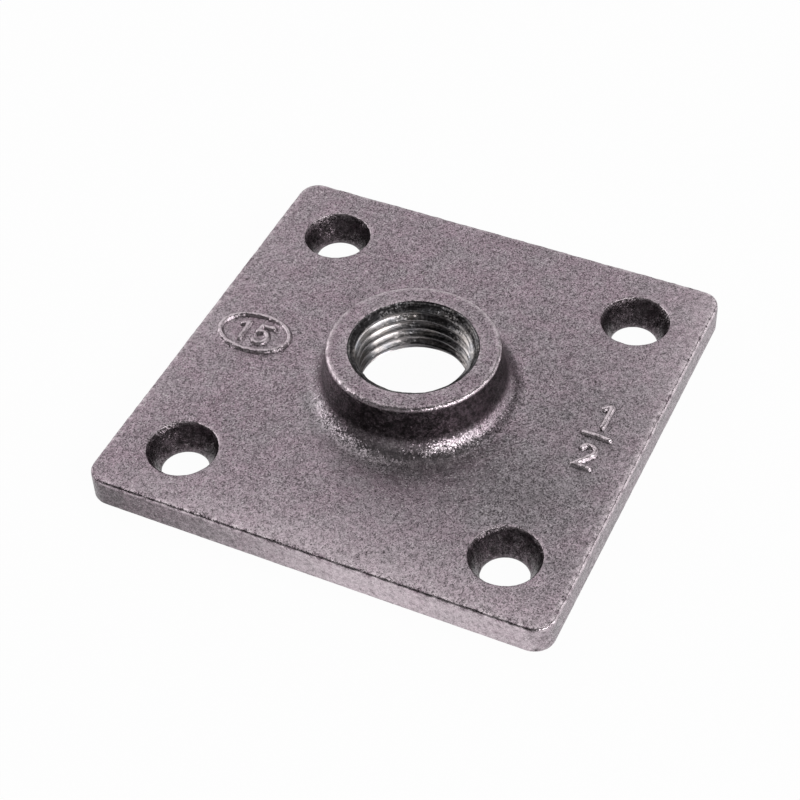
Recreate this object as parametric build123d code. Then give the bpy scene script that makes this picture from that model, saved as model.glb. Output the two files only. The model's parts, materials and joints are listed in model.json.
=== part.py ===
from build123d import *
import math
import os

# Threaded floor flange for half-inch pipe: a square cast plate with a round threaded hub.
# Sizes are in millimetres. The underside lies on z = 0 and the pipe's axis is the Z axis.

# Plate
plate_side = 80.0
plate_thickness = 5.3
plate_corner_radius = 3.5
plate_top_round = 0.45
plate_bottom_round = 0.2

# Screw holes, cast with a taper that ends in a short round land at the underside
hole_spacing = 56.5
hole_land_radius = 4.0
hole_land_length = 0.6
hole_mouth_radius = 5.75
hole_rim_chamfer = 0.25

# Hub
flange_height = 13.7
hub_top_radius = 14.4
hub_draft_angle = 8.0
hub_top_round = 0.8
hub_root_fillet = 3.6

# Bore at the thread's minor diameter, with a countersunk mouth and a relief at its lower end
bore_radius = 9.15
mouth_radius = 10.8
mouth_depth = 1.1
relief_width = 0.75
relief_depth = 0.6

# Cored recess under the hub
recess_radius = 14.8
recess_depth = 3.9
recess_draft_angle = 12.0
recess_corner_chamfer = 1.0


def make_plate():
    """The square plate with round corners, and its edges softened as the mould leaves them."""
    outline = RectangleRounded(plate_side, plate_side, plate_corner_radius)
    plate = extrude(outline, amount=plate_thickness)
    plate = fillet(plate.edges().group_by(Axis.Z)[-1], radius=plate_top_round)
    return fillet(plate.edges().group_by(Axis.Z)[0], radius=plate_bottom_round)


def make_hub():
    """The hub's outside: a cone that widens by the draft angle from its top down to the underside."""
    spread = flange_height * math.tan(math.radians(hub_draft_angle))
    return Cone(
        bottom_radius=hub_top_radius + spread,
        top_radius=hub_top_radius,
        height=flange_height,
        align=(Align.CENTER, Align.CENTER, Align.MIN),
    )


def make_core():
    """What is taken out on the pipe's axis: recess, relief, bore and countersunk mouth, turned as one."""
    ceiling_radius = recess_radius - recess_depth * math.tan(math.radians(recess_draft_angle))
    half_section = Polygon(
        (0, 0),
        (recess_radius, 0),
        (ceiling_radius, recess_depth),
        (bore_radius + relief_width, recess_depth),
        (bore_radius, recess_depth + relief_depth),
        (bore_radius, flange_height - mouth_depth),
        (mouth_radius, flange_height),
        (0, flange_height),
        align=None,
    )
    ceiling_corner = half_section.vertices().sort_by_distance((ceiling_radius, recess_depth))[0]
    half_section = chamfer(ceiling_corner, length=recess_corner_chamfer)
    return revolve(Plane.XZ * half_section, axis=Axis.Z)


def make_screw_hole():
    """One screw hole: a round land at the underside, a taper that opens upwards and a broken rim."""
    rim_height = plate_thickness - hole_rim_chamfer
    half_section = Polygon(
        (0, 0),
        (hole_land_radius, 0),
        (hole_land_radius, hole_land_length),
        (hole_mouth_radius, rim_height),
        (hole_mouth_radius + hole_rim_chamfer, plate_thickness),
        (0, plate_thickness),
        align=None,
    )
    return revolve(Plane.XZ * half_section, axis=Axis.Z)


def make_flange():
    """The whole casting as one solid."""
    casting = make_plate() + make_hub()
    circles = casting.edges().filter_by(GeomType.CIRCLE)
    hub_root = circles.filter_by_position(Axis.Z, plate_thickness, plate_thickness).sort_by(SortBy.RADIUS)[-1]
    casting = fillet(hub_root, radius=hub_root_fillet)
    casting = fillet(casting.edges().group_by(Axis.Z)[-1], radius=hub_top_round)
    casting -= make_core()
    screw_hole = make_screw_hole()
    for place in GridLocations(hole_spacing, hole_spacing, 2, 2):
        casting -= place * screw_hole
    return casting


os.makedirs("parts", exist_ok=True)
floor_flange = make_flange()
floor_flange.label = "floor_flange"
export_step(floor_flange, "parts/floor_flange.step")
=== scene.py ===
import bmesh
import bpy
import json
import math
import numpy as np
from mathutils import Matrix, Vector, geometry, noise


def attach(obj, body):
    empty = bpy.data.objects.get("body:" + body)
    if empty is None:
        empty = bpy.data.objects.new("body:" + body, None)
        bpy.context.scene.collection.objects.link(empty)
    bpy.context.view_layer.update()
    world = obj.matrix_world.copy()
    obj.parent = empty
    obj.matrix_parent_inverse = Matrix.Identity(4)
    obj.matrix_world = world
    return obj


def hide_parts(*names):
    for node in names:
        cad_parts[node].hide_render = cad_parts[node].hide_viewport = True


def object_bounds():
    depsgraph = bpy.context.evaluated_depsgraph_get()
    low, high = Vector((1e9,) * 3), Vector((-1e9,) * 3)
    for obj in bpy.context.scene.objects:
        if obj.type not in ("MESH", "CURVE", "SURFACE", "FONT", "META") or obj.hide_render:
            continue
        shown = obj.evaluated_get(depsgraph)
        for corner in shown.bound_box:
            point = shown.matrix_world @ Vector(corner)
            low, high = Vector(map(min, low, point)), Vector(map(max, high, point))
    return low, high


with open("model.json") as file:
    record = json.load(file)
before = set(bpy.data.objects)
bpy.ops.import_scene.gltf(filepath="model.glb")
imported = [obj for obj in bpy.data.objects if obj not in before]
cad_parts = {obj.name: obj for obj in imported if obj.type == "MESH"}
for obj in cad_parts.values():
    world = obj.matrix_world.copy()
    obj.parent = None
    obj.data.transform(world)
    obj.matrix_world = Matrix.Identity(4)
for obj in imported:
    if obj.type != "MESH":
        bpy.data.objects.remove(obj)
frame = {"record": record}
cad_box = [list(corner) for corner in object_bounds()]

# Lengths of the casting are in millimetres until its mesh is made, and MM turns them into metres.
# Lengths in the materials, of the floor, the lamps and the camera are in metres.
MM = 0.001
MOUNTS = {mount["name"]: mount["dims"] for mount in frame["record"]["mounts"]}

# Overall sizes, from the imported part
PLATE_SIDE = (cad_box[1][0] - cad_box[0][0]) / MM
FLANGE_HEIGHT = (cad_box[1][2] - cad_box[0][2]) / MM
HOLE_SPACING = MOUNTS["screw_holes"]["spacing_x_mm"]
HOLE_LAND_RADIUS = MOUNTS["screw_holes"]["hole_r_mm"]
BORE_RADIUS = MOUNTS["pipe_thread"]["r_mm"]

# Plate
PLATE_THICKNESS = 5.3
PLATE_CORNER_RADIUS = 3.5
PLATE_TOP_ROUND = 0.45
PLATE_BOTTOM_ROUND = 0.2
PLATE_HALF = PLATE_SIDE / 2
PLATE_FLAT_HALF = PLATE_HALF - PLATE_CORNER_RADIUS

# Screw holes, with their centres in the order front, right, back and left
HOLE_LAND_LENGTH = 0.6
HOLE_MOUTH_RADIUS = 5.75
HOLE_RIM = 0.25
HOLE_CENTRES = [
    (x * HOLE_SPACING / 2, y * HOLE_SPACING / 2)
    for x, y in ((1, -1), (1, 1), (-1, 1), (-1, -1))
]

# Hub, with its draft in degrees
HUB_TOP_RADIUS = 14.4
HUB_DRAFT_ANGLE = 8.0
HUB_TOP_ROUND = 0.8
HUB_ROOT_FILLET = 3.6

# Bore, countersunk mouth with a narrow lip round it, and the recess under the hub, with its draft in
# degrees
MOUTH_RADIUS = 10.8
MOUTH_DEPTH = 1.1
MOUTH_LIP = 0.07
RELIEF_WIDTH = 0.75
RELIEF_DEPTH = 0.6
RECESS_RADIUS = 14.8
RECESS_DEPTH = 3.9
RECESS_DRAFT_ANGLE = 12.0
RECESS_CORNER = 1.0

# Pipe thread: 14 turns to the inch, right-handed, with its taper given on the radius and its start as
# a share of a turn. Its flanks have the slope of a 60 degree thread, its crests are cut flat and its
# roots are rounded.
THREAD_PITCH = 25.4 / 14
THREAD_CREST_RADIUS = 9.27
THREAD_CREST_FLAT = 0.107 * THREAD_PITCH
THREAD_ROOT_ROUND = 0.29 * THREAD_PITCH
THREAD_FLANK_SLOPE = math.sqrt(3)
THREAD_TAPER = 1 / 32
THREAD_START = 0.35

# Raised numerals: how high they stand, half a stroke's width, how wide its sloping side is, and how
# unevenly they're cast, with the size of their lumps
NUMERAL_HEIGHT = 0.52
NUMERAL_HALF_WIDTH = 0.43
NUMERAL_SLOPE = 0.44
NUMERAL_UNEVENNESS = 0.3
NUMERAL_LUMP = 0.8

# Spacing of the mesh's points
PLATE_STEP = 0.6
NUMERAL_STEP = 0.17
UNDERSIDE_STEP = 1.6
EDGE_STEP = 0.4
WALL_STEP = 0.42
RECESS_STEP = 1.0

# Room between the loose points of the top face or the underside and the edges round them, and
# between the thread's rows and the two ends of its wall
PLATE_ROOM = 0.3
UNDERSIDE_ROOM = 0.6
ROW_ROOM = 0.02

# How many points go round the hub, round a screw hole, and across each rounded edge, and how many
# rows of points a flank of the thread has
HUB_POINTS = 300
HOLE_POINTS = 104
PLATE_TOP_POINTS = 6
PLATE_BOTTOM_POINTS = 3
HOLE_RIM_POINTS = 4
HUB_FILLET_POINTS = 14
HUB_TOP_POINTS = 8
FLANK_ROWS = 6

# Keys of the points at the two ends of the thread's wall, beyond those of all its rows
TOP_KEY = 10**6
BOTTOM_KEY = -TOP_KEY

# How the flat faces are cut into triangles: all of them are kept at first, points this near each other
# are joined, and the middle of a triangle that stays lies this far inside the face
KEEP_ALL = 0
JOIN_DISTANCE = 1e-6
SLIVER = 0.002

# Faces that meet at more than this angle have a sharp edge between them
SHARP_ANGLE = math.radians(40)

# Which of the two materials a face has
CAST = 0
CUT = 1

# How uneven sand leaves the skin at each place: it's moved into the iron by up to this much, or out
# of it where the value is below zero
ROUGHNESS = {
    "top": 0.06,
    "top edge": 0.14,
    "plate wall": 0.05,
    "underside": 0.03,
    "hole rim": 0.16,
    "hole wall": -0.14,
    "fillet": 0.08,
    "hub wall": 0.1,
    "hub rim": 0.08,
    "land": 0.05,
    "mouth": 0.2,
    "recess": 0.1,
}

# Broad swells and small pebbles in that unevenness, with the size and the share of each
SWELL_SIZE = 9.0
SWELL_SHARE = 0.5
PEBBLE_SIZE = 1.3
PEBBLE_SHARE = 0.9

# How far each seed moves the noise along X, Y and Z, and how much weaker, as a power, and finer each
# of its octaves is than the one before
NOISE_SHIFT = (13.7, 5.1, 9.3)
NOISE_FALL = 1.0
NOISE_GAP = 2.0

# Chips that break up polish, painted highlights, painted shade and dark scale: their size, the share of
# the finish that they leave, how strongly they change it, and the seed of their noise
CHIPS = {
    "edge scale": (1.4, 0.4, 1.5, 4),
    "top edge": (0.9, 0.5, 1.9, 6),
    "hole rim": (0.9, 1.0, 1.0, 5),
    "hub rim": (0.9, 0.8, 0.9, 7),
    "land": (0.9, 0.6, 1.5, 8),
}

# Share of dark scale at the places where it's even, which on the walls of the screw holes and of the
# hub is partly painted shade
SCALE = {
    "hole wall": 0.9,
    "hole foot": 1.0,
    "hub wall": 1.0,
    "land": 0.05,
    "recess": 0.6,
    "recess foot": 0.3,
}

# Polish and painted sheen along the plate's sides: its shares at the start, middle and end of each
# side, with the lower X or Y first, and how far in from the side it fades away
SIDE_WEAR_AND_SHEEN = {
    "front": (0.08, 0.52, 0.44),
    "right": (0.16, 0.12, 0.42),
    "back": (0.0, 0.0, 0.0),
    "left": (0.04, 0.14, 0.08),
}
SIDE_WEAR_AND_SHEEN_REACH = 6.2

# Painted highlight on the narrow band of the top beside its right edge, and how far in the band reaches
RIGHT_BAND_HIGHLIGHT = 0.75
RIGHT_BAND_REACH = 1.1

# Polish and painted highlight on the plate's rounded top edge: all round, for each share along the
# side, at the right and at the corner between right and front, the last two painted highlight. A share
# of it is lost by the foot of the round, and chips leave a larger share at the right.
EDGE_WEAR_AND_SHEEN = 0.4
EDGE_SIDE_WEAR_AND_SHEEN = 1.6
RIGHT_EDGE_HIGHLIGHT = 0.9
CORNER_HIGHLIGHT = 1.6
EDGE_WEAR_AND_SHEEN_LOSS = 0.4
RIGHT_EDGE_WHOLE = 0.5

# Painted shade, a dark reflection, on the rounded top edge at the front
EDGE_SHADE = 0.8

# Painted reflection, a lighter tone, on the plate's front wall, for each share along the side
FRONT_WALL_REFLECTION = 0.95

# Painted shade on the plate's walls: its share at the left, how far right of the middle it ends, as a
# share of half the side, and its share at the right
LEFT_WALL_SHADE = 0.75
LEFT_WALL_SHADE_END = 0.15
RIGHT_WALL_SHADE = 0.2

# Polish and painted highlight on the screw holes' rims: all round, and a painted highlight that grows
# towards one side, in X and Y. Over the round of a rim it follows a stretch of half a sine wave, given
# by its start and its run.
HOLE_RIM_WEAR_AND_SHEEN = 0.4
HOLE_RIM_SIDE_HIGHLIGHT = 0.8
HOLE_RIM_HIGHLIGHT_SIDE = (-0.17, 0.98)
HOLE_RIM_WAVE_START = 0.1
HOLE_RIM_WAVE_RUN = 0.8

# Where the dark scale and painted shade of the hub's wall start on its fillet, as a share of the climb,
# and their run
FILLET_SCALE_AND_SHADE_START = 0.68
FILLET_SCALE_AND_SHADE_RUN = 0.22

# Polish and painted highlight on the hub's rounded rim, and how fast they rise and fall over the round:
# the fall starts from the given level. The wall's dark scale and painted shade fade as fast as the last
# value says.
RIM_WEAR_AND_HIGHLIGHT = 0.9
RIM_HIGHLIGHT_RISE = 1.5
RIM_HIGHLIGHT_LEVEL = 2.6
RIM_HIGHLIGHT_FALL = 2.25
RIM_SCALE_AND_SHADE_FALL = 3.4

# Lighter iron round the mouth's edge, and how far out it fades away
MOUTH_LIGHTENING = 0.45
MOUTH_LIGHTENING_REACH = 0.6

# Rough dark scale on the countersunk mouth: it falls by this much over the mouth's depth, from this
# level at the top, and is held between none and full
MOUTH_SCALE_LEVEL = 3.2
MOUTH_SCALE_FALL = 2.6

# Painted shade on the thread's crests, as a share, and on its whole wall towards one side: its share
# there, the angle round the axis where it lies, in degrees, and how far it reaches to each side
CREST_SHADE = 0.85
THREAD_SHADE = 1.0
THREAD_SHADE_ANGLE = 90.0
THREAD_SHADE_REACH = 36.0

# Painted highlight at the foot of the hub's fillet: how far out from the pipe's axis it lies, half its
# width, and its share by the angle round the axis, in degrees
FOOT_RING_RADIUS = 17.6
FOOT_RING_REACH = 1.9
FOOT_HIGHLIGHT_ANGLES = (-115, -85, -45, -25)
FOOT_HIGHLIGHT_SHARES = (0.0, 0.45, 0.55, 0.0)

# How much greyer the iron is there at the front, and how far past the two sides that reaches
FOOT_GREYNESS = 0.8
FOOT_GREY_REACH = 0.2

# Polish and painted highlight on the numerals at the plate's right, and on the oval and the number in
# it
NUMERAL_POLISH_AND_SHEEN = 1.2
OVAL_POLISH_AND_SHEEN = 0.6

# Dull grey stains on the plate's top, the wide one round the hub being painted shade: each one's
# centre, radius and share of dark scale, and how much greyer than the bare iron a stain is for that
# share
STAINS_AND_HUB_SHADE = [((27.0, -16.0), 11.0, 0.34), ((8.0, 0.0), 27.0, 0.09), ((31.0, 5.0), 9.0, 0.16)]
STAIN_GREYNESS = 2.2

# Colours of the raw iron: its dark and its light grains, its brown and its grey tint, and its glints
GRAIN_DARK = (0.06, 0.056, 0.058, 1)
GRAIN_LIGHT = (0.49, 0.47, 0.48, 1)
BROWN_TINT = (1.08, 0.87, 0.99, 1)
GREY_TINT = (1.0, 0.925, 0.98, 1)
GLINT_COLOUR = (0.66, 0.62, 0.63, 1)

# Colours of polished iron and of painted highlights, of dark scale and of painted shade, and of the
# small pits
POLISH_AND_HIGHLIGHT_COLOUR = (0.86, 0.755, 0.8, 1)
SCALE_AND_SHADE_COLOUR = (0.034, 0.03, 0.031, 1)
PIT_COLOUR = (0.05, 0.045, 0.045, 1)

# Colours of the cut iron, and of the painted shade and the dark scale on it
CUT_DARK = (0.4, 0.4, 0.43, 1)
CUT_LIGHT = (0.6, 0.55, 0.53, 1)
CUT_SHADE_AND_SCALE_COLOUR = (0.04, 0.037, 0.039, 1)

# How much of the grey tint the patches give, and how much darker and lighter the small stains and the
# clusters of grains make the raw iron
TINT_SHARES = (0.0, 0.6)
STAIN_TONES = (0.86, 1.12)
CLUSTER_TONES = (0.8, 1.26)

# Tool lines on the cut iron: a range of their mask, and how much darker and lighter it makes the iron
LINE_TONES = ((0.35, 0.65), (0.6, 1.4))

# How polish and painted highlights, and scale and painted shade, are broken up, by the clusters of
# grains
# or the tool lines: a range of their mask, and the shares of the finish that are left over that range
POLISH_AND_HIGHLIGHT_BREAKS = ((0.1, 0.6), (0.35, 1.0))
SCALE_AND_SHADE_BREAKS = ((0.2, 0.65), (1.0, 0.7))
CUT_SHADE_AND_SCALE_BREAKS = ((0.4, 0.65), (1.0, 0.7))

# Roughness of the raw iron from its dark to its light grains, and of the cut iron from bare to fully
# under painted shade and scale, with the lean of its grains
CAST_ROUGHNESS = (0.38, 0.26)
CUT_ROUGHNESS = (0.3, 0.4)
CUT_TILTS = (0.0, 0.5)

# Ranges of the fine noise, and of its sum with each grain's own draw, that give dark to light grains,
# and the draws at which a grain starts to glint and glints in full
FINE_RANGE = (0.3, 0.7)
LIGHT_RANGE = (0.3, 1.7)
GLINT_DRAWS = (0.86, 0.98)

# How strongly the middle of a speck shows
SPECK_STRENGTH = 1.5

# How fine the cut iron's tool lines are round the thread and along its axis
LINE_SCALE = (150, 150, 5000)

# The floor: half its side, its paint, and how white the camera and reflections see it
FLOOR_HALF = 3.0
FLOOR_PAINT = (0.85, 0.85, 0.85, 1)
FLOOR_GLOW = 0.97
WHITE = (1, 1, 1, 1)

# Softboxes: each one's place towards the camera, to its left and up, its width and height, and its
# power in watts. The white world round them is as strong as the last value says.
SOFTBOXES = {
    "back_softbox": ((-1.0, 0.1, 0.84), (1.9, 1.6), 8.7),
    "left_softbox": ((-0.38, 0.78, 0.46), (0.7, 0.65), 2.8),
    "right_softbox": ((0.51, -0.66, 0.54), (0.9, 0.45), 5.8),
    "low_right_softbox": ((-0.25, -0.95, 0.2), (0.8, 0.35), 1.4),
    "front_softbox": ((0.85, 0.4, 0.45), (0.9, 0.45), 0.5),
}
WORLD_STRENGTH = 0.008

# The camera, as a turn round the pipe's axis, a height above the horizon, a lean and a distance, with
# the point that it aims at. Its lens and sensor are in millimetres.
CAMERA_AZIMUTH = math.radians(26.99)
CAMERA_ELEVATION = math.radians(45.69)
CAMERA_LEAN = math.radians(-2.655)
CAMERA_DISTANCE = 0.3372
CAMERA_AIM = Vector((-0.00289, 0.0, 0.0))
CAMERA_LENS = 90.34
CAMERA_SENSOR = 36.0
CAMERA_CLIP_START = 0.01


class Skin:
    """Collects the points and faces of one closed surface.

    Each point also has a roughness in millimetres, a share of dark scale, which in places is painted
    shade, and a share of bright polish, which is its wear and in places a painted highlight.
    """

    def __init__(self):
        self.points = np.zeros((0, 3))
        self.roughness = np.zeros(0)
        self.scale = np.zeros(0)
        self.wear = np.zeros(0)
        self.faces = []
        self.finishes = []

    def add_points(self, points, roughness, scale=0.0, wear=0.0):
        """Adds points and gives back their numbers."""
        points = np.asarray(points, float)
        first = len(self.points)
        self.points = np.vstack([self.points, points])
        self.roughness = np.append(self.roughness, np.broadcast_to(roughness, len(points)))
        self.scale = np.append(self.scale, np.broadcast_to(scale, len(points)))
        self.wear = np.append(self.wear, np.broadcast_to(wear, len(points)))
        return np.arange(first, first + len(points))

    def add_faces(self, faces, finish=CAST):
        """Adds faces, each a list of its points' numbers, that all have one finish."""
        self.faces += faces
        self.finishes += [finish] * len(faces)

    def join_rings(self, rings):
        """Quads between each ring and the next, which have as many points."""
        for ring, following in zip(rings, rings[1:]):
            quads = np.stack([ring, np.roll(ring, -1), np.roll(following, -1), following], axis=1)
            self.add_faces(quads.tolist())


def lumps(points, size, octaves, seed):
    """Smooth noise between about -1 and 1 at each point, with lumps of this size."""
    shift = Vector([seed * step for step in NOISE_SHIFT])
    return np.array([
        noise.fractal(Vector(point) / size + shift, NOISE_FALL, NOISE_GAP, octaves)
        for point in points
    ])


def chips(points, place, more=0.0):
    """How much of a finish the chips leave at each point, with more of it kept where that is given."""
    size, share, contrast, seed = CHIPS[place]
    return np.clip(share + more + contrast * lumps(points, size, 2, seed), 0, 1)


def arc(centre, radius, start, end, count):
    """Points on an arc in a half-section, as (radius, height) pairs. Angles are in degrees."""
    angles = np.linspace(math.radians(start), math.radians(end), count)
    return [(centre[0] + radius * math.cos(a), centre[1] + radius * math.sin(a)) for a in angles]


def straight(start, end, step):
    """Points between two corners of a half-section, without the corners themselves."""
    length = math.dist(start, end)
    count = max(1, round(length / step))
    shares = np.arange(1, count) / count
    return [(start[0] + (end[0] - start[0]) * s, start[1] + (end[1] - start[1]) * s) for s in shares]


def circle_ring(radius, height, count, centre=(0.0, 0.0)):
    """A level ring of points, anticlockwise."""
    angles = np.arange(count) * 2 * math.pi / count
    x = centre[0] + radius * np.cos(angles)
    y = centre[1] + radius * np.sin(angles)
    return np.stack([x, y, np.full(count, height)], axis=1)


def plate_outline():
    """The rounded square, as points and their outward directions, anticlockwise."""
    side_count = round(2 * PLATE_FLAT_HALF / EDGE_STEP)
    corner_count = round(math.pi / 2 * PLATE_CORNER_RADIUS / EDGE_STEP)
    points = []
    directions = []
    for quarter in range(4):
        turn = Matrix.Rotation(quarter * math.pi / 2, 2)
        for i in range(side_count):
            points.append(turn @ Vector((PLATE_HALF, PLATE_FLAT_HALF * (2 * i / side_count - 1))))
            directions.append(turn @ Vector((1, 0)))
        for i in range(corner_count):
            angle = math.pi / 2 * i / corner_count
            outward = Vector((math.cos(angle), math.sin(angle)))
            corner_centre = Vector((PLATE_FLAT_HALF, PLATE_FLAT_HALF))
            points.append(turn @ (corner_centre + PLATE_CORNER_RADIUS * outward))
            directions.append(turn @ outward)
    return np.array(points), np.array(directions)


def plate_ring(outline, directions, inset, height):
    """The outline moved inwards, at a height."""
    inner = outline - directions * inset
    return np.column_stack([inner, np.full(len(inner), height)])


def stroke_distance(points, path):
    """How far each point lies from a broken line through the points of a path."""
    nearest = np.full(len(points), np.inf)
    for start, end in zip(path, path[1:]):
        start = np.array(start)
        run = np.array(end) - start
        share = np.clip(((points - start) @ run) / (run @ run), 0, 1)
        gap = points - start - share[:, None] * run
        nearest = np.minimum(nearest, np.hypot(gap[:, 0], gap[:, 1]))
    return nearest


def arc_path(centre, radii, start, end, count=14):
    """A stroke's points along part of an ellipse. Angles are in degrees."""
    angles = np.radians(np.linspace(start, end, count))
    return [(centre[0] + radii[0] * math.cos(a), centre[1] + radii[1] * math.sin(a)) for a in angles]


# The numerals' strokes, each a broken line in the plate's X and Y, and the two zones that hold them
ONE = [(30.9, 6.5), (32.1, 7.4), (32.15, 2.6)]
BAR = [(29.7, 0.45), (34.2, 0.3)]
TWO = arc_path((31.9, -3.2), (1.2, 1.2), 165, -35) + [(30.6, -6.7), (33.4, -6.7)]
OVAL = arc_path((-30.1, 0.0), (6.3, 4.2), 0, 360, 48)
OVAL_ONE = [(-32.9, 1.2), (-31.9, 2.0), (-31.9, -2.1)]
OVAL_FIVE = [(-27.3, 2.0), (-29.4, 2.0), (-29.6, 0.4)]
OVAL_FIVE += arc_path((-28.7, -0.75), (1.3, 1.35), 130, -140)
STROKES = [ONE, BAR, TWO, OVAL, OVAL_ONE, OVAL_FIVE]
NUMERAL_ZONES = [((28.4, -8.2), (35.8, 8.8)), ((-37.2, -5.2), (-23.0, 5.2))]


def numeral_relief(points):
    """How far the raised strokes lift each point of the plate's top. They're cast a little unevenly."""
    nearest = np.min([stroke_distance(points, path) for path in STROKES], axis=0)
    share = np.clip((NUMERAL_HALF_WIDTH + NUMERAL_SLOPE / 2 - nearest) / NUMERAL_SLOPE, 0, 1)
    raised = np.flatnonzero(share)
    spots = np.column_stack([points[raised], np.zeros(len(raised))])
    dips = np.clip(lumps(spots, NUMERAL_LUMP, 2, seed=3), -0.5, 1)
    share[raised] *= 1 - NUMERAL_UNEVENNESS * dips
    share = np.clip(share, 0, 1)
    rounded = share * share * (3 - 2 * share)
    return NUMERAL_HEIGHT * rounded


def triangle_grid(step, low, high):
    """Evenly spaced points over a rectangle, every other row moved by half a step."""
    rows = []
    heights = np.arange(low[1], high[1], step * math.sqrt(3) / 2)
    for number, y in enumerate(heights):
        x = np.arange(low[0] + (number % 2) * step / 2, high[0], step)
        rows.append(np.stack([x, np.full(len(x), y)], axis=1))
    return np.vstack(rows)


def inside_zone(points, zone):
    """Which points lie in a rectangle."""
    (x0, y0), (x1, y1) = zone
    return (points[:, 0] > x0) & (points[:, 0] < x1) & (points[:, 1] > y0) & (points[:, 1] < y1)


def clear_of_edges(points, hub_radius, hole_radius, inset, room):
    """Which points lie on the plate, away from its outline, the hub and the screw holes."""
    beyond = np.maximum(np.abs(points) - PLATE_FLAT_HALF, 0)
    clear = np.hypot(beyond[:, 0], beyond[:, 1]) < PLATE_CORNER_RADIUS - inset - room
    clear &= np.hypot(points[:, 0], points[:, 1]) > hub_radius + room
    for x, y in HOLE_CENTRES:
        clear &= np.hypot(points[:, 0] - x, points[:, 1] - y) > hole_radius + room
    return clear


def fill_plate(skin, rings, grid, height, hub_radius, hole_radius, inset, roughness):
    """Triangles at a height, between the plate's outline, the hub and the holes, through a grid."""
    loose = skin.add_points(np.column_stack([grid, np.full(len(grid), height)]), roughness)
    numbers = np.concatenate([*rings, loose])
    edges = []
    first = 0
    for ring in rings:
        count = len(ring)
        edges += [(first + i, first + (i + 1) % count) for i in range(count)]
        first += count
    flat = [Vector(point) for point in skin.points[numbers][:, :2]]
    corners, sources = geometry.delaunay_2d_cdt(flat, edges, [], KEEP_ALL, JOIN_DISTANCE)[2:4]
    made_from = np.array([numbers[source[0]] for source in sources])
    triangles = made_from[np.array(corners)]
    middles = skin.points[triangles][:, :, :2].mean(axis=1)
    kept = triangles[clear_of_edges(middles, hub_radius, hole_radius, inset, SLIVER)]
    skin.add_faces(kept.tolist())
    return loose


def side_wear_and_sheen(points):
    """The polish and painted sheen at each point of the plate's top, by its nearness to each of the
    four sides.
    """
    along_x = (points[:, 0] + PLATE_HALF) / PLATE_SIDE
    along_y = (points[:, 1] + PLATE_HALF) / PLATE_SIDE
    places = {
        "front": (along_y, along_x),
        "right": (1 - along_x, along_y),
        "back": (1 - along_y, along_x),
        "left": (along_x, along_y),
    }
    wear = []
    for side, (inwards, along) in places.items():
        share = np.interp(along, (0, 0.5, 1), SIDE_WEAR_AND_SHEEN[side])
        wear.append(share * np.exp(-inwards * PLATE_SIDE / SIDE_WEAR_AND_SHEEN_REACH))
    # Painted highlight on the narrow band beside the right edge
    band = (PLATE_HALF - points[:, 0]) / RIGHT_BAND_REACH
    wear.append(RIGHT_BAND_HIGHLIGHT * np.exp(-band * band))
    return np.max(wear, axis=0)


def near_foot(points):
    """How near each point lies to the foot of the hub's fillet, from 0 to 1."""
    away = (np.hypot(points[:, 0], points[:, 1]) - FOOT_RING_RADIUS) / FOOT_RING_REACH
    return np.exp(-away * away)


def foot_highlight(points):
    """The painted highlight at each point round the foot of the hub."""
    angles = np.degrees(np.arctan2(points[:, 1], points[:, 0]))
    return np.interp(angles, FOOT_HIGHLIGHT_ANGLES, FOOT_HIGHLIGHT_SHARES) * near_foot(points)


def foot_greyness(points):
    """How grey the iron is round the foot of the hub, mostly at its front."""
    radius = np.hypot(points[:, 0], points[:, 1])
    forwards = np.clip(FOOT_GREY_REACH - points[:, 1] / radius, 0, 1)
    return FOOT_GREYNESS * forwards * near_foot(points)


def stain_and_hub_shade_share(points):
    """The dark scale of the stains, and the painted shade round the hub, at each point of the plate's
    top.
    """
    share = np.zeros(len(points))
    for centre, radius, strength in STAINS_AND_HUB_SHADE:
        gap = np.hypot(points[:, 0] - centre[0], points[:, 1] - centre[1])
        share += strength * np.exp(-(gap / radius) ** 2)
    return share


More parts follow.
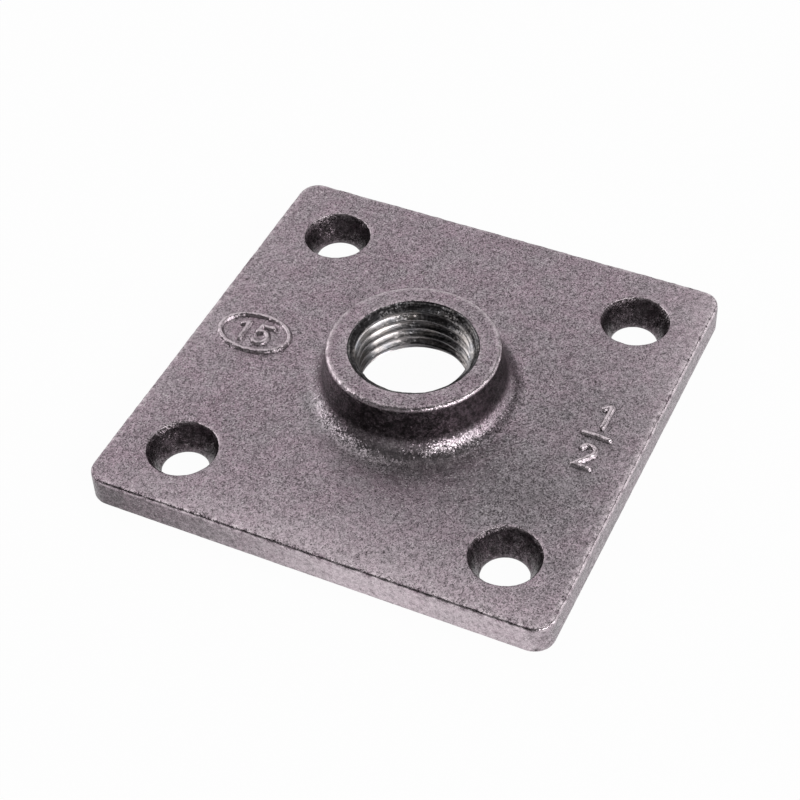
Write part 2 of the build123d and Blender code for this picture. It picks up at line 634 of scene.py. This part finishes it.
def add_plate_edge(skin):
    """The plate's four sides, from the top face down to the underside."""
    outline, directions = plate_outline()
    forwards = np.clip(-directions[:, 1], 0, 1)
    rightwards = np.clip(directions[:, 0], 0, 1)
    top_centre = (PLATE_TOP_ROUND, PLATE_THICKNESS - PLATE_TOP_ROUND)
    top_round = arc(top_centre, PLATE_TOP_ROUND, 90, 180, PLATE_TOP_POINTS)
    bottom_centre = (PLATE_BOTTOM_ROUND, PLATE_BOTTOM_ROUND)
    bottom_round = arc(bottom_centre, PLATE_BOTTOM_ROUND, 180, 270, PLATE_BOTTOM_POINTS)
    wall = straight(top_round[-1], bottom_round[0], WALL_STEP)
    rings = []
    for number, (inset, height) in enumerate(top_round):
        share = number / (len(top_round) - 1)
        ring = plate_ring(outline, directions, inset, height)
        broken = chips(ring, "edge scale")
        # Painted shade, a dark reflection, on the middle of the top edge where it faces the front
        scale = EDGE_SHADE * math.sin(math.pi * share) * np.clip(2 * forwards - 1, 0, 1) * broken
        # Polish with painted highlights on the top edge, brightest at the right and at the front right
        # corner
        bare = EDGE_WEAR_AND_SHEEN + EDGE_SIDE_WEAR_AND_SHEEN * side_wear_and_sheen(ring) + RIGHT_EDGE_HIGHLIGHT * rightwards
        bare += CORNER_HIGHLIGHT * rightwards * forwards
        chipped = chips(ring, "top edge", RIGHT_EDGE_WHOLE * rightwards)
        wear = np.clip(bare, 0, 1) * (1 - EDGE_WEAR_AND_SHEEN_LOSS * share) * chipped
        rings.append(skin.add_points(ring, ROUGHNESS["top edge"], scale, wear))
    # Painted shade on the walls, darkest at the left end and weaker on the right wall
    wall_shade = LEFT_WALL_SHADE * np.clip(LEFT_WALL_SHADE_END - outline[:, 0] / PLATE_HALF, 0, 1)
    wall_shade = np.maximum(wall_shade, RIGHT_WALL_SHADE * directions[:, 0])
    for inset, height in wall + bottom_round:
        ring = plate_ring(outline, directions, inset, height)
        # A painted reflection lightens the walls that face the front, less where they carry painted
        # shade
        wear = FRONT_WALL_REFLECTION * side_wear_and_sheen(ring) * forwards * (1 - wall_shade)
        rings.append(skin.add_points(ring, ROUGHNESS["plate wall"], wall_shade, wear))
    skin.join_rings(rings)
    return rings


def add_screw_holes(skin):
    """The four screw holes, each from its rim down to the underside."""
    rim_centre = (HOLE_MOUTH_RADIUS + HOLE_RIM, PLATE_THICKNESS - HOLE_RIM)
    rim = arc(rim_centre, HOLE_RIM, 90, 180, HOLE_RIM_POINTS)
    land_top = (HOLE_LAND_RADIUS, HOLE_LAND_LENGTH)
    taper = straight(rim[-1], land_top, WALL_STEP)
    land = [land_top, (HOLE_LAND_RADIUS, HOLE_LAND_LENGTH / 2)]
    tops = []
    feet = []
    for centre in HOLE_CENTRES:
        rings = []
        for number, (radius, height) in enumerate(rim):
            share = number / len(rim)
            ring = circle_ring(radius, height, HOLE_POINTS, centre)
            outward = (ring[:, :2] - centre) / radius
            # Polish all round the rim, with a painted highlight growing towards one side
            bare = HOLE_RIM_WEAR_AND_SHEEN + HOLE_RIM_SIDE_HIGHLIGHT * (outward @ HOLE_RIM_HIGHLIGHT_SIDE)
            wave = math.sin(math.pi * (HOLE_RIM_WAVE_START + HOLE_RIM_WAVE_RUN * share))
            wear = np.clip(bare, 0, 1) * wave * chips(ring, "hole rim")
            # The scale grows over the rim into the hole, partly painted shade
            rings.append(skin.add_points(ring, ROUGHNESS["hole rim"], share, wear))
        # Dark scale on the hole walls, partly painted shade
        for radius, height in taper + land:
            ring = circle_ring(radius, height, HOLE_POINTS, centre)
            rings.append(skin.add_points(ring, ROUGHNESS["hole wall"], SCALE["hole wall"]))
        foot = circle_ring(HOLE_LAND_RADIUS, 0.0, HOLE_POINTS, centre)
        rings.append(skin.add_points(foot, 0.0, SCALE["hole foot"]))
        skin.join_rings(rings)
        tops.append(rings[0])
        feet.append(rings[-1])
    return tops, feet


def hub_section():
    """The hub's half-section in four runs from the plate up to the mouth, as (radius, height) pairs."""
    draft = math.radians(HUB_DRAFT_ANGLE)
    lean_x = math.cos(draft)
    lean_z = math.sin(draft)
    spread = math.tan(draft)
    foot_height = PLATE_THICKNESS + HUB_ROOT_FILLET * (1 - lean_z)
    foot_radius = HUB_TOP_RADIUS + (FLANGE_HEIGHT - foot_height) * spread
    root = (foot_radius + HUB_ROOT_FILLET * lean_x, PLATE_THICKNESS + HUB_ROOT_FILLET)
    shoulder_height = FLANGE_HEIGHT - HUB_TOP_ROUND * (1 - lean_z)
    shoulder_radius = HUB_TOP_RADIUS + (FLANGE_HEIGHT - shoulder_height) * spread
    crown = (shoulder_radius - HUB_TOP_ROUND * lean_x, FLANGE_HEIGHT - HUB_TOP_ROUND)
    fillet = arc(root, HUB_ROOT_FILLET, 270, 180 + HUB_DRAFT_ANGLE, HUB_FILLET_POINTS)
    round_edge = arc(crown, HUB_TOP_ROUND, HUB_DRAFT_ANGLE, 90, HUB_TOP_POINTS)
    wall = straight(fillet[-1], round_edge[0], WALL_STEP)
    land = straight(round_edge[-1], (MOUTH_RADIUS, FLANGE_HEIGHT), WALL_STEP)
    return fillet, wall, round_edge, land + [(MOUTH_RADIUS + MOUTH_LIP, FLANGE_HEIGHT)]


def add_hub(skin):
    """The hub's outside, from its fillet on the plate up to the mouth's edge."""
    fillet, wall, round_edge, land = hub_section()
    rings = []
    for number, (radius, height) in enumerate(fillet):
        climb = number / (len(fillet) - 1)
        # Dark scale, partly painted shade, from the hub's wall down over the fillet's upper part
        scale = min(1.0, max(0.0, (climb - FILLET_SCALE_AND_SHADE_START) / FILLET_SCALE_AND_SHADE_RUN))
        ring = circle_ring(radius, height, HUB_POINTS)
        # A painted highlight round the fillet's foot
        rings.append(skin.add_points(ring, ROUGHNESS["fillet"], scale, foot_highlight(ring)))
    for radius, height in wall:
        ring = circle_ring(radius, height, HUB_POINTS)
        # Dark scale on the hub's wall, partly painted shade
        rings.append(skin.add_points(ring, ROUGHNESS["hub wall"], SCALE["hub wall"]))
    for number, (radius, height) in enumerate(round_edge):
        share = number / (len(round_edge) - 1)
        # The wall's dark scale and painted shade fade over the rim's round
        scale = max(0.0, 1 - RIM_SCALE_AND_SHADE_FALL * share)
        ring = circle_ring(radius, height, HUB_POINTS)
        # Polish with a painted highlight over the rim's round
        bare = min(1.0, RIM_HIGHLIGHT_RISE * share, RIM_HIGHLIGHT_LEVEL - RIM_HIGHLIGHT_FALL * share)
        wear = RIM_WEAR_AND_HIGHLIGHT * bare * chips(ring, "hub rim")
        rings.append(skin.add_points(ring, ROUGHNESS["hub rim"], scale, wear))
    for radius, height in land:
        ring = circle_ring(radius, height, HUB_POINTS)
        bare = math.exp(-(radius - MOUTH_RADIUS) / MOUTH_LIGHTENING_REACH)
        wear = MOUTH_LIGHTENING * bare * chips(ring, "land")
        rings.append(skin.add_points(ring, ROUGHNESS["land"], SCALE["land"], wear))
    return rings


def thread_radius(angle, height):
    """Radius of the tapped wall, opened by the countersink above and by the relief below."""
    depth = FLANGE_HEIGHT - height
    turn = (height / THREAD_PITCH - angle / (2 * math.pi) + THREAD_START) % 1.0
    reach = (THREAD_PITCH - THREAD_CREST_FLAT) / 2
    from_root = np.minimum(np.abs(turn - 0.5) * THREAD_PITCH, reach)
    rise = math.hypot(reach, THREAD_ROOT_ROUND) - np.hypot(from_root, THREAD_ROOT_ROUND)
    cut = THREAD_CREST_RADIUS - depth * THREAD_TAPER + rise * THREAD_FLANK_SLOPE
    sink = MOUTH_RADIUS - depth * (MOUTH_RADIUS - BORE_RADIUS) / MOUTH_DEPTH
    relief = BORE_RADIUS + RELIEF_WIDTH * (1 - (height - RECESS_DEPTH) / RELIEF_DEPTH)
    return np.maximum(cut, np.maximum(sink, relief))


def add_thread(skin):
    """The tapped wall from the recess to the mouth. Its rows of points follow the thread's own climb.

    A point's key counts the rows up the thread, so each row has the same key in every column, and the
    faces join the keys that two neighbouring columns share.
    """
    half_flat = THREAD_CREST_FLAT / 2 / THREAD_PITCH
    row_turns = np.linspace(half_flat, 1 - half_flat, 2 * FLANK_ROWS + 1)
    rows = len(row_turns)
    low = RECESS_DEPTH
    high = FLANGE_HEIGHT
    columns = []
    for column in range(HUB_POINTS):
        angle = column * 2 * math.pi / HUB_POINTS
        turns = angle / (2 * math.pi) - THREAD_START
        first = math.floor(low / THREAD_PITCH - turns) - 1
        last = math.ceil(high / THREAD_PITCH - turns) + 1
        keys = np.arange(first * rows, last * rows)
        heights = (keys // rows + row_turns[keys % rows] + turns) * THREAD_PITCH
        inside = (heights > low + ROW_ROOM) & (heights < high - ROW_ROOM)
        keys = np.concatenate([[BOTTOM_KEY], keys[inside], [TOP_KEY]])
        heights = np.concatenate([[low], heights[inside], [high]])
        radii = thread_radius(angle, heights)
        points = np.stack([radii * math.cos(angle), radii * math.sin(angle), heights], axis=1)
        fallen = MOUTH_SCALE_FALL * (high - heights) / MOUTH_DEPTH
        near_mouth = np.clip(MOUTH_SCALE_LEVEL - fallen, 0, 1)
        # Painted shade on the crests and on one side of the thread's wall
        on_crest = CREST_SHADE * np.isin(keys % rows, (0, rows - 1))
        away = ((math.degrees(angle) - THREAD_SHADE_ANGLE + 180) % 360 - 180) / THREAD_SHADE_REACH
        painted_shade_and_scale = np.maximum(on_crest, THREAD_SHADE * math.exp(-away * away))
        roughness = ROUGHNESS["mouth"] * near_mouth
        numbers = skin.add_points(points, roughness, np.maximum(near_mouth, painted_shade_and_scale))
        columns.append(dict(zip(keys.tolist(), numbers.tolist())))
    for column in range(HUB_POINTS):
        here = columns[column]
        there = columns[(column + 1) % HUB_POINTS]
        if column == HUB_POINTS - 1:
            # One turn round the axis, the rows have climbed by one pitch
            there = {key - rows if abs(key) < TOP_KEY else key: there[key] for key in there}
        shared = sorted(set(here) & set(there))
        faces = []
        for below, above in zip(shared, shared[1:]):
            left = [here[key] for key in sorted(here) if below <= key <= above]
            right = [there[key] for key in sorted(there, reverse=True) if below <= key <= above]
            faces.append(left + right)
        skin.add_faces(faces, CUT)
    bottom = np.array([column[BOTTOM_KEY] for column in columns])
    top = np.array([column[TOP_KEY] for column in columns])
    return bottom, top


def add_recess(skin, bore_ring):
    """The cored recess, from the bore's lower end out and down to the underside."""
    draft = math.radians(RECESS_DRAFT_ANGLE)
    ceiling_radius = RECESS_RADIUS - RECESS_DEPTH * math.tan(draft)
    drop = RECESS_CORNER * math.cos(draft)
    bore_edge = (BORE_RADIUS + RELIEF_WIDTH, RECESS_DEPTH)
    ceiling_end = (ceiling_radius - RECESS_CORNER, RECESS_DEPTH)
    wall_start = (ceiling_radius + drop * math.tan(draft), RECESS_DEPTH - drop)
    foot = (RECESS_RADIUS, 0.0)
    section = straight(bore_edge, ceiling_end, RECESS_STEP) + [ceiling_end, wall_start]
    section += straight(wall_start, foot, RECESS_STEP)
    rings = [bore_ring]
    for radius, height in section:
        ring = circle_ring(radius, height, HUB_POINTS)
        rings.append(skin.add_points(ring, ROUGHNESS["recess"], SCALE["recess"]))
    rings.append(skin.add_points(circle_ring(*foot, HUB_POINTS), 0.0, SCALE["recess foot"]))
    skin.join_rings(rings)
    return rings[-1]


def build_casting():
    """The whole casting as one closed surface, and the numbers of the points on its top face."""
    skin = Skin()
    edge_rings = add_plate_edge(skin)
    hole_tops, hole_feet = add_screw_holes(skin)
    hub_rings = add_hub(skin)
    thread_bottom, thread_top = add_thread(skin)
    skin.join_rings(hub_rings + [thread_top])
    recess_foot = add_recess(skin, thread_bottom)
    low_corner = (-PLATE_HALF, -PLATE_HALF)
    high_corner = (PLATE_HALF, PLATE_HALF)

    # Top face, with finer points where the numerals stand
    hub_radius = math.hypot(*skin.points[hub_rings[0][0]][:2])
    rim_radius = HOLE_MOUTH_RADIUS + HOLE_RIM
    grid = triangle_grid(PLATE_STEP, low_corner, high_corner)
    for zone in NUMERAL_ZONES:
        grid = grid[~inside_zone(grid, zone)]
        grid = np.vstack([grid, triangle_grid(NUMERAL_STEP, *zone)])
    grid = grid[clear_of_edges(grid, hub_radius, rim_radius, PLATE_TOP_ROUND, PLATE_ROOM)]
    top = fill_plate(skin, [edge_rings[0], hub_rings[0], *hole_tops], grid, PLATE_THICKNESS,
                     hub_radius, rim_radius, PLATE_TOP_ROUND, ROUGHNESS["top"])
    # Polish and painted sheen near the sides, and a painted highlight round the hub's foot
    skin.wear[top] = side_wear_and_sheen(skin.points[top]) + foot_highlight(skin.points[top])
    # Dark scale of the stains, with painted shade round the hub
    skin.scale[top] = stain_and_hub_shade_share(skin.points[top])

    # Underside
    grid = triangle_grid(UNDERSIDE_STEP, low_corner, high_corner)
    clear = clear_of_edges(grid, RECESS_RADIUS, HOLE_LAND_RADIUS, PLATE_BOTTOM_ROUND, UNDERSIDE_ROOM)
    fill_plate(skin, [edge_rings[-1], recess_foot, *hole_feet], grid[clear], 0.0,
               RECESS_RADIUS, HOLE_LAND_RADIUS, PLATE_BOTTOM_ROUND, ROUGHNESS["underside"])
    return skin, top


def roughened(skin, normals):
    """The skin's points, moved by up to their roughness. Below its mouth, the thread stays true."""
    swell = lumps(skin.points, SWELL_SIZE, 2, seed=1)
    pebble = lumps(skin.points, PEBBLE_SIZE, 3, seed=2)
    depth = 0.5 + 0.5 * np.clip(SWELL_SHARE * swell + PEBBLE_SHARE * pebble, -1, 1)
    return skin.points - normals * (depth * skin.roughness)[:, None]


def make_mesh(name, points, faces):
    """A closed mesh, with all its faces turned outwards."""
    mesh = bpy.data.meshes.new(name)
    mesh.from_pydata((points * MM).tolist(), [], faces)
    mesh.validate()
    mesh.update()
    work = bmesh.new()
    work.from_mesh(mesh)
    bmesh.ops.recalc_face_normals(work, faces=work.faces)
    work.to_mesh(mesh)
    work.free()
    return mesh


def outward_normals(mesh):
    """The direction out of the iron at each point."""
    normals = np.zeros(len(mesh.vertices) * 3, np.float32)
    mesh.vertex_normals.foreach_get("vector", normals)
    return normals.reshape(-1, 3).astype(float)


def store_mask(mesh, name, values):
    """Keeps one value for each point, for the materials to read."""
    mask = mesh.attributes.new(name, "FLOAT", "POINT")
    mask.data.foreach_set("value", np.asarray(values, np.float32))


def make_casting():
    """The casting's object, with its numerals, its uneven skin and the masks of its finish."""
    skin, top = build_casting()
    mesh = make_mesh("flange_casting", skin.points, skin.faces)
    skin.points = roughened(skin, outward_normals(mesh))
    relief = numeral_relief(skin.points[top, :2])
    skin.points[top, 2] += relief
    mesh.vertices.foreach_set("co", (skin.points * MM).astype(np.float32).ravel())
    # Polish and painted highlight on the raised numerals, by their height
    numeral_polish_and_highlight = np.where(skin.points[top, 0] > 0, NUMERAL_POLISH_AND_SHEEN, OVAL_POLISH_AND_SHEEN) * relief / NUMERAL_HEIGHT
    skin.wear[top] = np.maximum(skin.wear[top], np.minimum(numeral_polish_and_highlight, 1.0))
    grey = foot_greyness(skin.points)
    grey[top] += STAIN_GREYNESS * stain_and_hub_shade_share(skin.points[top])
    # This mask holds dark scale and painted shade
    store_mask(mesh, "scale", skin.scale)
    # This mask holds polish and painted highlights
    store_mask(mesh, "wear", skin.wear)
    store_mask(mesh, "grey", grey)
    mesh.polygons.foreach_set("material_index", skin.finishes)
    mesh.shade_smooth()
    mesh.set_sharp_from_angle(angle=SHARP_ANGLE)
    mesh.update()
    casting = bpy.data.objects.new("flange_casting", mesh)
    bpy.context.scene.collection.objects.link(casting)
    return casting


def new_material(name):
    """An empty material and its tree of nodes."""
    material = bpy.data.materials.new(name)
    material.use_nodes = True
    material.node_tree.nodes.clear()
    return material, material.node_tree


def new_group(name, inputs, outputs):
    """An empty node group, its given values and its result's sockets.

    Inputs are (name, socket type, default) and outputs are (name, socket type).
    """
    group = bpy.data.node_groups.new(name, "ShaderNodeTree")
    for label, kind, default in inputs:
        socket = group.interface.new_socket(label, in_out="INPUT", socket_type=kind)
        socket.default_value = default
    for label, kind in outputs:
        group.interface.new_socket(label, in_out="OUTPUT", socket_type=kind)
    given = group.nodes.new("NodeGroupInput")
    result = group.nodes.new("NodeGroupOutput")
    return group, given.outputs, result.inputs


def add_node(tree, kind, inputs=None, **settings):
    """A node with its settings, and with a value or a socket for each named or numbered input."""
    node = tree.nodes.new(kind)
    for key, value in settings.items():
        setattr(node, key, value)
    for key, value in (inputs or {}).items():
        if isinstance(value, bpy.types.NodeSocket):
            tree.links.new(value, node.inputs[key])
        else:
            node.inputs[key].default_value = value
    return node


def calculate(tree, operation, *terms, **settings):
    """The result of a sum or the like. Each term is a number or a socket."""
    inputs = dict(enumerate(terms))
    return add_node(tree, "ShaderNodeMath", inputs, operation=operation, **settings).outputs[0]


def calculate_vector(tree, operation, inputs):
    """The result of a sum or the like of vectors."""
    return add_node(tree, "ShaderNodeVectorMath", inputs, operation=operation).outputs[0]


def mix_colours(tree, share, first, second, blend="MIX"):
    """A colour between two others, by a share, or their product. Each is a value or a socket."""
    inputs = {0: share, 6: first, 7: second}
    node = add_node(tree, "ShaderNodeMix", inputs, data_type="RGBA", blend_type=blend)
    return node.outputs[2]


def multiply_colour(tree, colour, factor):
    """A colour made lighter or darker by a factor."""
    return mix_colours(tree, 1.0, colour, factor, "MULTIPLY")


def remap(tree, value, before, after):
    """Moves a value from one range into another, and holds it there."""
    inputs = {0: value, 1: before[0], 2: before[1], 3: after[0], 4: after[1]}
    return add_node(tree, "ShaderNodeMapRange", inputs).outputs[0]


def read_mask(tree, name):
    """The share that the mesh keeps under this name."""
    return add_node(tree, "ShaderNodeAttribute", attribute_name=name).outputs["Fac"]


def read_place(tree):
    """The place on the casting, in metres."""
    return add_node(tree, "ShaderNodeTexCoord").outputs["Object"]


def use_group(tree, group, **inputs):
    """What a group puts out, with a value or a socket for each named input."""
    return add_node(tree, "ShaderNodeGroup", inputs, node_tree=group).outputs


def make_patches_group():
    """Soft patches over the surface, from 0 to 1, of a size in metres."""
    group, given, result = new_group(
        "patches",
        [("Size", "NodeSocketFloat", 0.01), ("Contrast", "NodeSocketFloat", 2.0),
         ("Shift", "NodeSocketVector", (0, 0, 0))],
        [("Mask", "NodeSocketFloat")],
    )
    middle = 0.5
    place = calculate_vector(group, "ADD", {0: read_place(group), 1: given["Shift"]})
    scale = calculate(group, "DIVIDE", 1.0, given["Size"])
    cloud = add_node(group, "ShaderNodeTexNoise",
                     {"Vector": place, "Scale": scale, "Detail": 3.0, "Roughness": 0.6})
    centred = calculate(group, "SUBTRACT", cloud.outputs["Fac"], middle)
    spread = calculate(group, "MULTIPLY_ADD", centred, given["Contrast"], middle, use_clamp=True)
    group.links.new(spread, result["Mask"])
    return group


def make_grain_group():
    """Fine cast grain of a size in metres: facets, heights, dark and light grains, and glints."""
    group, given, result = new_group(
        "cast_grain",
        [("Size", "NodeSocketFloat", 0.0003), ("Tilt", "NodeSocketFloat", 0.3)],
        [("Normal", "NodeSocketVector"), ("Height", "NodeSocketFloat"), ("Light", "NodeSocketFloat"),
         ("Glint", "NodeSocketFloat")],
    )
    place = read_place(group)
    scale = calculate(group, "DIVIDE", 1.0, given["Size"])
    fine = add_node(group, "ShaderNodeTexNoise",
                    {"Vector": place, "Scale": scale, "Detail": 3.0, "Roughness": 0.7})
    grains = add_node(group, "ShaderNodeTexVoronoi", {"Vector": place, "Scale": scale})
    draws = add_node(group, "ShaderNodeSeparateColor", {0: grains.outputs["Color"]})
    cloud = remap(group, fine.outputs["Fac"], FINE_RANGE, (0.0, 1.0))
    light = calculate(group, "ADD", cloud, draws.outputs[1])
    group.links.new(remap(group, light, LIGHT_RANGE, (0.0, 1.0)), result["Light"])
    group.links.new(remap(group, draws.outputs[0], GLINT_DRAWS, (0.0, 1.0)), result["Glint"])
    group.links.new(fine.outputs["Fac"], result["Height"])

    # Each grain's facet leans its own way
    lean = calculate_vector(group, "SUBTRACT", {0: grains.outputs["Color"], 1: (0.5, 0.5, 0.5)})
    tilt = calculate_vector(group, "SCALE", {0: lean, "Scale": given["Tilt"]})
    surface = add_node(group, "ShaderNodeNewGeometry").outputs["Normal"]
    leaning = calculate_vector(group, "ADD", {0: surface, 1: tilt})
    group.links.new(calculate_vector(group, "NORMALIZE", {0: leaning}), result["Normal"])
    return group


def make_specks_group():
    """Rare small dots, from 0 to 1, of which the share of places that get one can be chosen."""
    group, given, result = new_group(
        "specks",
        [("Spacing", "NodeSocketFloat", 0.0015), ("Share", "NodeSocketFloat", 0.1),
         ("Width", "NodeSocketFloat", 0.2)],
        [("Mask", "NodeSocketFloat")],
    )
    scale = calculate(group, "DIVIDE", 1.0, given["Spacing"])
    places = add_node(group, "ShaderNodeTexVoronoi", {"Vector": read_place(group), "Scale": scale})
    draws = add_node(group, "ShaderNodeSeparateColor", {0: places.outputs["Color"]})
    chosen = calculate(group, "LESS_THAN", draws.outputs[0], given["Share"])
    inside = remap(group, places.outputs["Distance"], (0.0, given["Width"]), (SPECK_STRENGTH, 0.0))
    group.links.new(calculate(group, "MULTIPLY", chosen, inside), result["Mask"])
    return group


def shade_cast_iron(patches, grain, specks):
    """Raw cast iron: brown and grey patches, fine grain with glints, dark scale and painted shade,
    polished edges and painted highlights.
    """
    material, tree = new_material("as_cast_iron")
    sand = use_group(tree, grain, Size=0.0002, Tilt=0.33)
    tint = use_group(tree, patches, Size=0.005, Contrast=4.0)["Mask"]
    stains = use_group(tree, patches, Size=0.004, Contrast=2.0, Shift=(0.3, 0.1, 0.2))["Mask"]
    clusters = use_group(tree, patches, Size=0.0009, Contrast=2.0, Shift=(0.1, 0.5, 0.3))["Mask"]
    pits = use_group(tree, specks, Spacing=0.0021, Share=0.1, Width=0.14)["Mask"]

    # The bare iron
    shade = mix_colours(tree, sand["Light"], GRAIN_DARK, GRAIN_LIGHT)
    tint = remap(tree, tint, (0, 1), TINT_SHARES)
    greyness = calculate(tree, "ADD", read_mask(tree, "grey"), tint, use_clamp=True)
    shade = multiply_colour(tree, shade, mix_colours(tree, greyness, BROWN_TINT, GREY_TINT))
    shade = multiply_colour(tree, shade, remap(tree, stains, (0, 1), STAIN_TONES))
    shade = multiply_colour(tree, shade, remap(tree, clusters, (0, 1), CLUSTER_TONES))
    glint = calculate(tree, "MULTIPLY", sand["Glint"], clusters)
    shade = mix_colours(tree, glint, shade, GLINT_COLOUR)

    # What lies on it: polish and painted highlights, dark scale and painted shade, and pits
    wear = calculate(tree, "MULTIPLY", read_mask(tree, "wear"), remap(tree, clusters, *POLISH_AND_HIGHLIGHT_BREAKS))
    shade = mix_colours(tree, wear, shade, POLISH_AND_HIGHLIGHT_COLOUR)
    scale = calculate(tree, "MULTIPLY", read_mask(tree, "scale"), remap(tree, clusters, *SCALE_AND_SHADE_BREAKS))
    shade = mix_colours(tree, scale, shade, SCALE_AND_SHADE_COLOUR)
    shade = mix_colours(tree, pits, shade, PIT_COLOUR)

    bump = add_node(tree, "ShaderNodeBump", {
        "Strength": 0.6,
        "Distance": 0.00005,
        "Height": sand["Height"],
        "Normal": sand["Normal"],
    })
    iron = add_node(tree, "ShaderNodeBsdfPrincipled", {
        "Metallic": 0.97,
        "Base Color": shade,
        "Roughness": remap(tree, sand["Light"], (0, 1), CAST_ROUGHNESS),
        "Normal": bump.outputs[0],
    })
    add_node(tree, "ShaderNodeOutputMaterial", {"Surface": iron.outputs[0]})
    return material


def shade_cut_iron(patches, grain):
    """Cut iron in the thread: grey, with fine tool lines, rough dark scale left at the mouth, and
    painted shade on the crests and on one side.
    """
    material, tree = new_material("cut_iron")
    place = add_node(tree, "ShaderNodeMapping", {"Vector": read_place(tree), "Scale": LINE_SCALE})
    lines = add_node(tree, "ShaderNodeTexNoise",
                     {"Vector": place.outputs[0], "Scale": 1.0, "Detail": 2.0}).outputs["Fac"]
    tint = use_group(tree, patches, Size=0.003, Contrast=3.0)["Mask"]
    # The scale mask here holds the mouth's dark scale and the thread's painted shade
    painted_shade_and_scale = read_mask(tree, "scale")

    shade = mix_colours(tree, tint, CUT_DARK, CUT_LIGHT)
    shade = multiply_colour(tree, shade, remap(tree, lines, *LINE_TONES))
    scale = calculate(tree, "MULTIPLY", painted_shade_and_scale, remap(tree, lines, *CUT_SHADE_AND_SCALE_BREAKS))
    shade = mix_colours(tree, scale, shade, CUT_SHADE_AND_SCALE_COLOUR)

    sand = use_group(tree, grain, Size=0.0003, Tilt=remap(tree, painted_shade_and_scale, (0, 1), CUT_TILTS))
    bump = add_node(tree, "ShaderNodeBump", {
        "Strength": 0.15,
        "Distance": 0.00004,
        "Height": lines,
        "Normal": sand["Normal"],
    })
    round_axis = add_node(tree, "ShaderNodeTangent", direction_type="RADIAL", axis="Z")
    iron = add_node(tree, "ShaderNodeBsdfPrincipled", {
        "Metallic": 1.0,
        "Anisotropic": 0.4,
        "Anisotropic Rotation": 0.25,
        "Tangent": round_axis.outputs[0],
        "Base Color": shade,
        "Roughness": remap(tree, painted_shade_and_scale, (0, 1), CUT_ROUGHNESS),
        "Normal": bump.outputs[0],
    })
    add_node(tree, "ShaderNodeOutputMaterial", {"Surface": iron.outputs[0]})
    return material


def shade_floor():
    """Pale matt paint, which the camera and reflections see nearly white, with a faint shadow."""
    material, tree = new_material("pale_floor")
    paint = add_node(tree, "ShaderNodeBsdfPrincipled",
                     {"Base Color": FLOOR_PAINT, "Roughness": 0.9, "Specular IOR Level": 0.0})
    white = add_node(tree, "ShaderNodeEmission", {"Color": WHITE, "Strength": 1.0})
    path = add_node(tree, "ShaderNodeLightPath").outputs
    seen = calculate(tree, "MAXIMUM", path["Is Camera Ray"], path["Is Glossy Ray"])
    seen = calculate(tree, "MAXIMUM", seen, path["Is Transmission Ray"])
    glow = calculate(tree, "MULTIPLY", seen, FLOOR_GLOW)
    blend = add_node(tree, "ShaderNodeMixShader", {0: glow, 1: paint.outputs[0], 2: white.outputs[0]})
    add_node(tree, "ShaderNodeOutputMaterial", {"Surface": blend.outputs[0]})
    return material


def make_floor():
    """A plain pale floor."""
    corners = [(x * FLOOR_HALF, y * FLOOR_HALF, 0) for x, y in ((-1, -1), (1, -1), (1, 1), (-1, 1))]
    mesh = bpy.data.meshes.new("floor")
    mesh.from_pydata(corners, [], [(0, 1, 2, 3)])
    mesh.materials.append(shade_floor())
    floor = bpy.data.objects.new("floor", mesh)
    bpy.context.scene.collection.objects.link(floor)


def add_softbox(name, place, size, power):
    """A rectangular lamp that is aimed at the flange."""
    front = Vector((math.sin(CAMERA_AZIMUTH), -math.cos(CAMERA_AZIMUTH), 0))
    left = Vector((-math.cos(CAMERA_AZIMUTH), -math.sin(CAMERA_AZIMUTH), 0))
    up = Vector((0, 0, 1))
    lamp = bpy.data.lights.new(name, "AREA")
    lamp.shape = "RECTANGLE"
    lamp.size, lamp.size_y = size
    lamp.energy = power
    softbox = bpy.data.objects.new(name, lamp)
    bpy.context.scene.collection.objects.link(softbox)
    softbox.location = front * place[0] + left * place[1] + up * place[2]
    softbox.rotation_mode = "QUATERNION"
    softbox.rotation_quaternion = (-softbox.location).to_track_quat("-Z", "Y")


def make_lights():
    """Plain soft studio light: a wide softbox behind the flange, one on each side and two weak ones."""
    for name, (place, size, power) in SOFTBOXES.items():
        add_softbox(name, place, size, power)
    world = bpy.data.worlds.new("studio")
    world.use_nodes = True
    background = world.node_tree.nodes["Background"].inputs
    background["Color"].default_value = WHITE
    background["Strength"].default_value = WORLD_STRENGTH
    bpy.context.scene.world = world


def make_camera():
    """The camera, at the same angle and distance from which the flange was photographed."""
    level = math.cos(CAMERA_ELEVATION)
    back = Vector((math.sin(CAMERA_AZIMUTH) * level, -math.cos(CAMERA_AZIMUTH) * level,
                   math.sin(CAMERA_ELEVATION)))
    right = (-back).cross(Vector((0, 0, 1))).normalized()
    up = right.cross(-back)
    leaning_right = right * math.cos(CAMERA_LEAN) + up * math.sin(CAMERA_LEAN)
    leaning_up = up * math.cos(CAMERA_LEAN) - right * math.sin(CAMERA_LEAN)
    turn = Matrix((leaning_right, leaning_up, back)).transposed()
    data = bpy.data.cameras.new("camera")
    data.lens = CAMERA_LENS
    data.sensor_width = CAMERA_SENSOR
    data.clip_start = CAMERA_CLIP_START
    camera = bpy.data.objects.new("camera", data)
    camera.matrix_world = Matrix.Translation(CAMERA_AIM + back * CAMERA_DISTANCE) @ turn.to_4x4()
    bpy.context.scene.collection.objects.link(camera)
    bpy.context.scene.camera = camera


bpy.context.scene.view_settings.view_transform = "Standard"
make_camera()
make_lights()
make_floor()
patches = make_patches_group()
grain = make_grain_group()
specks = make_specks_group()
casting = make_casting()
casting.data.materials.append(shade_cast_iron(patches, grain, specks))
casting.data.materials.append(shade_cut_iron(patches, grain))
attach(casting, "root")
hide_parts("floor_flange")
